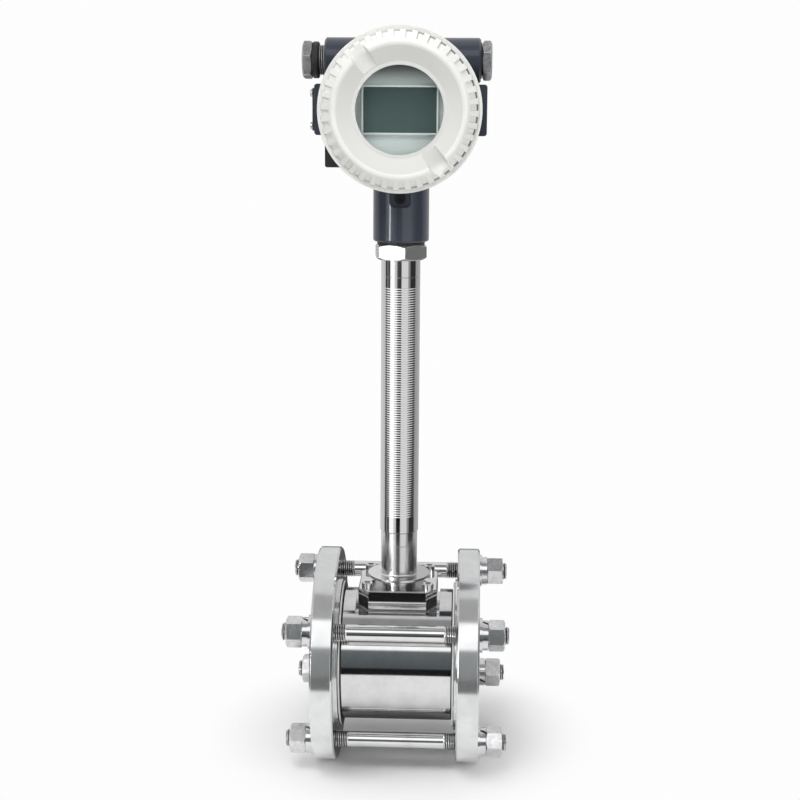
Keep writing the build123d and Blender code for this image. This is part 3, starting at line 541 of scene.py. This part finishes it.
black_steel = steel(
    "black_steel", (0.05, 0.05, 0.055), 0.3, marks=0.2, mark_scale=500.0, edge=0.3
)
plug_zinc = steel(
    "plug_zinc", (0.38, 0.38, 0.385), 0.36, marks=1.0, mark_scale=700.0, edge=1.0,
    patch=0.14, metallic=0.7, dirt=0.4, bright_edge=0.9, mottle=0.6,
)

# Coatings, plastics, rubber and glass

housing_paint = paint(
    "housing_paint", (0.04, 0.047, 0.066), 0.3, coat=0.5, peel=0.03, edge=1.0, wear_and_glint=0.6,
    wear_and_glint_colour=(0.2, 0.21, 0.25, 1.0), dust=0.02, shine=0.25, threads=True,
)
cover_paint = paint(
    "cover_paint", (0.87, 0.87, 0.84), 0.4, coat=0.1, peel=0.1, edge=0.8, wear_and_glint=0.3,
    wear_and_glint_colour=(0.9, 0.9, 0.88, 1.0), dust=0.02, shine=0.3, groove=True, threads=True,
)
plate_black = paint(
    "plate_black", (0.02, 0.02, 0.021), 0.4, peel=0.1, peel_scale=600.0, edge=0.3, wear_and_glint=0.3,
    wear_and_glint_colour=(0.2, 0.2, 0.2, 1.0),
)
ring_black = paint("ring_black", (0.03, 0.03, 0.03), 0.45, edge=0.4)
gasket_white = moulded("gasket_white", (0.86, 0.86, 0.84), 0.6, shaded_sides=True)
rubber_black = moulded(
    "rubber_black", (0.012, 0.012, 0.013), 0.5, grit_scale=900.0, grit=0.3, edge=0.6
)
module_black = moulded("module_black", (0.03, 0.032, 0.035), 0.5)
terminal_grey = moulded("terminal_grey", (0.06, 0.07, 0.07), 0.45)
bezel_white = moulded("bezel_white", (0.86, 0.9, 0.87), 0.4)
plate_grey = brushed_plate("plate_grey", (0.9, 0.97, 0.955))
lcd_dark = liquid_crystal("lcd_dark")
window_glass = clear_glass("window_glass")

finishes = {
    "inlet_flange": flange_steel,
    "outlet_flange": flange_steel,
    "inlet_gasket": gasket_white,
    "outlet_gasket": gasket_white,
    "meter_body": body_steel,
    "bluff_body": body_steel,
    "sensor_probe": probe_steel,
    "bonnet_block": block_steel,
    "bonnet_screws": screw_steel,
    "stem": stem_steel,
    "lock_nut": lock_steel,
    "neck_seal": rubber_black,
    "tie_studs": stud_steel,
    "flat_washers": washer_steel,
    "spring_washers": washer_steel,
    "stud_nuts": nut_steel,
    "housing": housing_paint,
    "lock_screw": black_steel,
    "side_plate": plate_black,
    "side_plate_screws": screw_steel,
    "tag_plate": plate_black,
    "tag_screw": screw_steel,
    "display_module": module_black,
    "display_plate": plate_grey,
    "lcd_panel": lcd_dark,
    "lcd_bezel": bezel_white,
    "terminal_block": terminal_grey,
    "terminal_screws": screw_steel,
    "front_cover": cover_paint,
    "window_glass": window_glass,
    "glass_ring": ring_black,
    "front_seal": rubber_black,
    "rear_cover": cover_paint,
    "rear_seal": rubber_black,
    "left_plug": plug_zinc,
    "left_plug_seal": rubber_black,
    "right_plug": plug_zinc,
    "right_plug_seal": rubber_black,
}
for name, material in finishes.items():
    for slot in nodes[name].material_slots:
        slot.material = material

# Turned pieces with real grooves and threads, each in place of its plain CAD node

step_h = 0.01 * MM
sharp_from = radians(24)

# A thread's rows in each turn, how steep its flanks are and how wide its flats
rows_per_turn = 6
thread_slope = 1.4
thread_flat = 0.2


def turned(name, rows, segments, to_frame, material, body, node, thread=None):
    """Closed skin through rings. Each row is a height and its radius, or its radius at an angle.

    thread is a thread's crest and root radii; the colour darkens from its crest towards its root."""
    vertices = []
    recesses = []
    turns = [2 * pi * step / segments for step in range(segments)]
    for height, radius in rows:
        reaches = [radius(angle) if callable(radius) else radius for angle in turns]
        for angle, reach in zip(turns, reaches):
            vertices.append(to_frame(reach * cos(angle), reach * sin(angle), height))
            sunk = 0.0
            if thread:
                crest, root = thread
                sunk = (min(crest, max(reaches)) - reach) / (crest - root)
            recesses.append(min(max(sunk, 0.0), 1.0))
    faces = []
    for row in range(len(rows) - 1):
        for step in range(segments):
            following = (step + 1) % segments
            start = row * segments
            above = start + segments
            faces.append((start + step, start + following, above + following, above + step))
    last = (len(rows) - 1) * segments
    faces.append(tuple(reversed(range(segments))))
    faces.append(tuple(range(last, last + segments)))
    mesh = bpy.data.meshes.new(name)
    mesh.from_pydata(vertices, [], faces)
    mesh.materials.append(material)
    mesh.attributes.new("recess", "FLOAT", "POINT").data.foreach_set("value", recesses)
    mesh.update()
    mesh.shade_smooth()
    mesh.set_sharp_from_angle(angle=sharp_from)
    piece = bpy.data.objects.new(name, mesh)
    bpy.context.scene.collection.objects.link(piece)
    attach(piece, body)
    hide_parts(node)


def helix_radius(height, pitch, root, crest, phase=0.0):
    """Radius of a thread with small flats on its crest and root."""

    def radius(angle):
        turn = (height / pitch - angle / (2 * pi) + phase) % 1.0
        rise = min(max(abs(2 * turn - 1) * thread_slope - thread_flat, 0.0), 1.0)
        return root + (crest - root) * rise

    return radius


# Stem, with its fine turned grooves

stem_segments = 96
foot_thread_r = 13.5 * MM
waist_r = 15.2 * MM
waist_h = 5.2 * MM
waist_sunk = 0.5 * MM
disc_t = 2.6 * MM
disc_r = 28.3 * MM
disc_edge = 0.4 * MM
foot_r = 16.4 * MM
foot_h = 40.0 * MM
foot_fillet = 1.2 * MM
foot_line_h = 28.0 * MM
tube_r = 17.2 * MM
tube_edge = 0.3 * MM
top_line_drop = 14.8 * MM
line_w = 0.9 * MM
line_depth = 0.4 * MM
swivel_r = 15.0 * MM
swivel_edge = 1.5 * MM
groove_pitch = 2.11 * MM
groove_count = 99
groove_w = 1.05 * MM
groove_lip = 0.15 * MM
groove_depth = 0.42 * MM


def line_rows(height, radius):
    """A single scribed line round the stem."""
    return [
        (height - line_w / 2, radius),
        (height - line_w / 5, radius - line_depth),
        (height + line_w / 5, radius - line_depth),
        (height + line_w / 2, radius),
    ]


def build_stem():
    """Threaded foot, waist, disc, foot tube, long grooved tube and swivel end."""
    disc_z = block_top + waist_h
    disc_top = disc_z + disc_t
    shoulder_z = disc_top + foot_h
    tube_top = lock_nut_bottom
    rows = [
        (stem_low.z, foot_thread_r),
        (block_top - waist_sunk, foot_thread_r),
        (block_top - waist_sunk + step_h, waist_r),
        (disc_z, waist_r),
        (disc_z + step_h, disc_r - disc_edge),
        (disc_z + disc_edge, disc_r),
        (disc_top - disc_edge, disc_r),
        (disc_top, disc_r - disc_edge),
        (disc_top + step_h, foot_r + foot_fillet),
        (disc_top + foot_fillet / 3, foot_r + foot_fillet / 3),
        (disc_top + foot_fillet, foot_r),
    ]
    rows += line_rows(disc_top + foot_line_h, foot_r)
    rows += [(shoulder_z, foot_r), (shoulder_z + (tube_r - foot_r), tube_r)]
    for step in range(groove_count):
        groove_z = groove_first + step * groove_pitch
        rows += [
            (groove_z - groove_w / 2, tube_r),
            (groove_z + groove_w / 2 - groove_lip, tube_r - groove_depth),
            (groove_z + groove_w / 2, tube_r),
        ]
    rows += line_rows(tube_top - top_line_drop, tube_r)
    rows += [
        (tube_top - tube_edge, tube_r),
        (tube_top, tube_r - tube_edge),
        (tube_top + step_h, swivel_r),
        (stem_high.z - swivel_edge, swivel_r),
        (stem_high.z, swivel_r - swivel_edge),
    ]
    turned(
        "stem_turned", rows, stem_segments, lambda x, y, z: (mid_x + x, y, z), stem_steel,
        "pipe_section", "stem",
    )


build_stem()

# Tie studs with threaded ends

stud_count = 4
stud_segments = 40
stud_r = 8.0 * MM
stud_shank_r = 7.35 * MM
stud_root_r = 6.85 * MM
stud_pitch = 2.0 * MM
stud_thread_len = 57.0 * MM
stud_edge = 1.2 * MM
stud_circle_r = 80.0 * MM
stud_turn = 57.4
stud_stagger = 0.23
shank_ends = (0.2 * MM, 1.0 * MM)


def stud_rows(start, end, phase):
    """Threads at both ends, which run out into a thinner shank."""
    inner_start = start + stud_thread_len
    inner_end = end - stud_thread_len
    near, far = shank_ends
    shank = [inner_start + near, inner_start + far, inner_end - far, inner_end - near]
    count = int((end - start) / (stud_pitch / rows_per_turn))
    heights = [start + (end - start) * index / count for index in range(count + 1)]
    rows = []
    for height in sorted(heights + shank):
        if height in shank:
            rows.append((height, stud_shank_r))
            continue
        if inner_start < height < inner_end:
            continue
        from_end = min(height - start, end - height)
        crest = min(stud_r, stud_r - stud_edge + from_end)
        root = min(stud_root_r, crest)
        near_shank = min(abs(height - inner_start), abs(height - inner_end))
        fade = min(near_shank / stud_pitch, 1.0)
        root += (stud_shank_r - root) * (1 - fade)
        crest += (stud_shank_r - crest) * (1 - fade)
        rows.append((height, helix_radius(height, stud_pitch, root, crest, phase)))
    return rows


def build_studs():
    low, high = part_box("tie_studs")
    for index in range(stud_count):
        angle = radians(stud_turn + 360 / stud_count * index)
        y0, z0 = stud_circle_r * cos(angle), stud_circle_r * sin(angle)
        turned(
            "tie_stud_%d" % (index + 1), stud_rows(low.x, high.x, stud_stagger * index),
            stud_segments, lambda a, b, h, y0=y0, z0=z0: (h, y0 + a, z0 + b), stud_steel,
            "pipe_section", "tie_studs", thread=(stud_r, stud_root_r),
        )


build_studs()

# Blanking plugs: cast hexagon, seat for the rubber ring and a threaded shank

plug_segments = 96
plug_flat_r = 15.0 * MM
plug_head = 8.5 * MM
plug_face_share = 0.955
plug_face_r = plug_flat_r * plug_face_share
plug_tip_r = plug_flat_r / cos(pi / 6)
plug_crown_rows = 6
plug_crown_slope = 0.5
plug_dish_r = 7.0 * MM
plug_dish_depth = 0.8 * MM
plug_dish_rim = 0.3 * MM
plug_dish_slope_w = 1.0 * MM
plug_ring_t = 5.7 * MM
plug_neck_share = 0.55
plug_thread_r = 13.15 * MM
plug_root_r = 12.1 * MM
plug_undercut = 0.6 * MM
plug_neck_r = plug_thread_r - plug_undercut
plug_tip_edge = 1.0 * MM
plug_pitch = 1.814 * MM


def hexagon_radius(flat, turn, cap):
    """Radius of a hexagon that a cone has trimmed to a cap."""

    def radius(angle):
        within = (angle - turn) % (pi / 3) - pi / 6
        return min(flat / cos(within), cap)

    return radius


def build_plug(side, name, node, body, turn):
    """Dished face, crowned hexagon, neck and thread, inward from the face.

    side is -1 at the inlet's side of the head and 1 at the outlet's."""
    low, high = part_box(node)
    outer = low.x if side < 0 else high.x
    inner = high.x if side < 0 else low.x
    length = abs(outer - inner)
    y0, z0 = (low.y + high.y) / 2, (low.z + high.z) / 2
    rows = [
        (-plug_dish_depth, plug_dish_r - plug_dish_slope_w),
        (-plug_dish_depth + plug_dish_rim, plug_dish_r - plug_dish_rim),
        (0.0, plug_dish_r),
        (0.0, plug_face_r),
    ]
    caps = [
        plug_face_r + (plug_tip_r - plug_face_r) * (step / plug_crown_rows)
        for step in range(1, plug_crown_rows + 1)
    ]
    for cap in caps:
        drop = (cap - plug_face_r) * plug_crown_slope
        rows.append((-drop, hexagon_radius(plug_flat_r, turn, cap)))
    for cap in reversed(caps):
        drop = (cap - plug_face_r) * plug_crown_slope
        rows.append((-plug_head + drop, hexagon_radius(plug_flat_r, turn, cap)))
    thread_start = plug_head + plug_ring_t * plug_neck_share
    rows += [
        (-plug_head, plug_face_r),
        (-plug_head - step_h, plug_neck_r),
        (-thread_start, plug_neck_r),
    ]
    count = int((length - thread_start) / (plug_pitch / rows_per_turn))
    for index in range(1, count + 1):
        depth = thread_start + (length - thread_start) * index / count
        crest = min(plug_thread_r, plug_thread_r - plug_tip_edge + (length - depth))
        root = min(plug_root_r, crest)
        rows.append((-depth, helix_radius(-side * depth, plug_pitch, root, crest)))
    turned(
        name, rows, plug_segments, lambda a, b, h: (outer + side * h, y0 + a, z0 + b), plug_zinc,
        body, node, thread=(plug_thread_r, plug_root_r),
    )


build_plug(-1, "left_plug_cast", "left_plug", "left_entry_plug", radians(-10.1))
build_plug(1, "right_plug_cast", "right_plug", "right_entry_plug", radians(37.8))

# Studio: white backdrop, and the bands and dark gaps that the metal reflects

backdrop = (0.985, 0.985, 0.985, 1.0)
room_fill = (0.3, 0.3, 0.302, 1.0)
front_blend = 0.15

# Near level the room's greys go by azimuth, apart from a gap in front and one behind.
# Azimuth 0 is the side that the display looks to, and azimuths grow towards the outlet.
level_bottom = (radians(-30), radians(-24))
level_top = (radians(32), radians(16))
gap_azimuth = radians(-5.5)
gap_half = (radians(10.5), radians(13.5))
rear_from = (radians(166), radians(158))

# A narrow bright strip, which the head's neck reflects
strip_light = (24.0, 24.0, 24.0, 1.0)
strip_azimuth = radians(-45.4)
strip_half = (radians(3.2), radians(2.4))
strip_bottom = (radians(-9), radians(-5))

# Greys near level, each at its azimuth in degrees
level_greys = [
    (-180, 0.75), (-150, 0.7), (-101, 0.6), (-98, 0.05), (-84, 0.05), (-82, 0.3),
    (-78, 0.3), (-76, 0.05), (-64, 0.06), (-61, 1.15), (-36, 1.15), (-32, 0.7),
    (-20, 0.6), (-16, 0.06), (5, 0.06), (9, 1.2), (45, 1.2), (50, 0.5),
    (60, 0.4), (63, 0.05), (100, 0.05), (103, 0.55), (150, 0.7), (180, 0.75),
]

# Greys elsewhere, each at its height above the horizon in degrees
front_greys = [
    (-90, 0.5), (-22, 0.6), (-20.5, 0.01), (-8, 0.01), (-6.5, (0.09, 0.105, 0.11, 1.0)),
    (6, (0.12, 0.14, 0.145, 1.0)), (23, (0.16, 0.18, 0.185, 1.0)), (26, 1.3), (52, 1.4),
    (55, 0.3), (80, 0.33), (84, 0.72), (90, 0.74),
]
back_greys = [
    (-90, 0.75), (-32, 0.7), (-28, 0.1), (-8, 0.1), (6, 0.75), (60, 0.82), (75, 0.74), (90, 0.74),
]


def build_world():
    world = bpy.data.worlds.new("studio")
    bpy.context.scene.world = world
    graph = Graph(world, "ShaderNodeOutputWorld")
    direction = graph.add("ShaderNodeTexCoord").outputs["Generated"]
    frontward = graph.times(graph.axis(direction, "Y"), -1.0)
    azimuth = graph.math("ARCTAN2", graph.axis(direction, "X"), frontward)
    rise = graph.math("ARCSINE", graph.axis(direction, "Z"))
    turn = graph.span(azimuth, -pi, pi)
    lift = graph.span(rise, -pi / 2, pi / 2)

    def away_from(middle):
        return graph.math("ABSOLUTE", graph.math("SUBTRACT", azimuth, middle))

    room = graph.mix(
        graph.fade(frontward, -front_blend, front_blend),
        graph.ramp(lift, -90, 90, back_greys),
        graph.ramp(lift, -90, 90, front_greys),
    )
    near_level = graph.times(graph.fade(rise, *level_bottom), graph.fade(rise, *level_top))
    beside = graph.times(
        graph.fade(away_from(gap_azimuth), *gap_half), graph.fade(away_from(0.0), *rear_from)
    )
    level = graph.ramp(turn, -180, 180, level_greys)
    room = graph.mix(graph.times(near_level, beside), room, level)
    strip = graph.times(
        graph.times(near_level, graph.fade(rise, *strip_bottom)),
        graph.fade(away_from(strip_azimuth), *strip_half),
    )
    room = graph.mix(strip, room, strip_light)

    path = graph.add("ShaderNodeLightPath").outputs
    seen = graph.math("MAXIMUM", path["Is Camera Ray"], path["Is Transmission Ray"])
    colour = graph.mix(path["Is Glossy Ray"], room_fill, room)
    colour = graph.mix(seen, colour, backdrop)
    background = graph.add("ShaderNodeBackground", {"Color": colour, "Strength": 1.0})
    graph.show(background.outputs[0])


build_world()

# Floor: paper with the shadow near the meter, plain white further out

floor_half = 6.0
paper_white = (0.95, 0.95, 0.95, 1.0)
# Floor as the metal sees it under the meter, darkened as painted shade
paper_shade = (0.05, 0.05, 0.05, 1.0)

# Beyond this distance from its middle the floor is clear to reflected rays
floor_reach = 0.34
floor_reach_soft = 0.01

# The shadow's middle lies behind the floor's middle. From it, paper turns white at paper_edge,
# and within the next pair of distances the metal sees it darker, a painted shade under the meter.
shadow_shift = (0.0, -50.0 * MM, 0.0)
paper_edge = (0.08, 0.2)
shade_under_edge = (0.12, 0.05)
shade_under_strength = 0.75


def floor_material():
    material = bpy.data.materials.new("floor")
    graph = Graph(material)
    place = graph.add("ShaderNodeTexCoord").outputs["Object"]
    distance = graph.length(place)
    from_shadow = graph.length(graph.vector("ADD", place, shadow_shift))
    path = graph.add("ShaderNodeLightPath").outputs
    glossy = path["Is Glossy Ray"]
    seen = graph.math("SUBTRACT", 1.0, path["Is Diffuse Ray"])
    # Painted shade: the metal sees the floor darker under the meter
    under = graph.times(graph.fade(from_shadow, *shade_under_edge, shade_under_strength), glossy)
    far = graph.times(graph.fade(from_shadow, *paper_edge), seen)
    beyond = graph.times(
        graph.span(distance, floor_reach, floor_reach + floor_reach_soft), glossy
    )
    paper = graph.add("ShaderNodeBsdfDiffuse", {"Color": graph.mix(under, paper_white, paper_shade)})
    white = graph.add("ShaderNodeEmission", {"Color": backdrop, "Strength": 1.0})
    clear = graph.add("ShaderNodeBsdfTransparent")
    near = graph.mix_shaders(far, paper.outputs[0], white.outputs[0])
    graph.show(graph.mix_shaders(beyond, near, clear.outputs[0]))
    return material


def build_floor():
    mesh = bpy.data.meshes.new("floor")
    corners = [(-1, -1), (1, -1), (1, 1), (-1, 1)]
    mesh.from_pydata([(x * floor_half, y * floor_half, 0) for x, y in corners], [], [(0, 1, 2, 3)])
    mesh.materials.append(floor_material())
    piece = bpy.data.objects.new("floor", mesh)
    piece.location = (mid_x, 0.0, floor_z)
    bpy.context.scene.collection.objects.link(piece)


build_floor()

# Lamps: name, place from the middle of the body, width, height and power in watts

lamp_aim = (mid_x, 0.0, 0.25)
lamps = [
    ("key_lamp", (-0.45, -0.9, 1.65), 1.0, 0.7, 14.6),
    ("right_lamp", (1.2, -0.8, 0.7), 0.6, 1.2, 5.0),
    ("top_lamp", (0.0, 0.2, 1.8), 1.4, 1.2, 6.0),
    ("front_lamp", (-0.2, -1.6, 0.45), 1.0, 1.0, 1.8),
    ("back_lamp", (-0.3, 1.5, 0.8), 1.0, 1.0, 4.5),
]


def build_lamps():
    """Soft boxes that light the meter and that its metal doesn't reflect."""
    for name, (x, y, z), width, height, power in lamps:
        lamp = bpy.data.lights.new(name, "AREA")
        lamp.shape = "RECTANGLE"
        lamp.size = width
        lamp.size_y = height
        lamp.energy = power
        piece = bpy.data.objects.new(name, lamp)
        piece.location = (mid_x + x, y, z)
        aim = Vector(lamp_aim) - Vector((mid_x + x, y, z))
        piece.rotation_euler = aim.to_track_quat("-Z", "Y").to_euler()
        piece.visible_glossy = False
        bpy.context.scene.collection.objects.link(piece)


build_lamps()
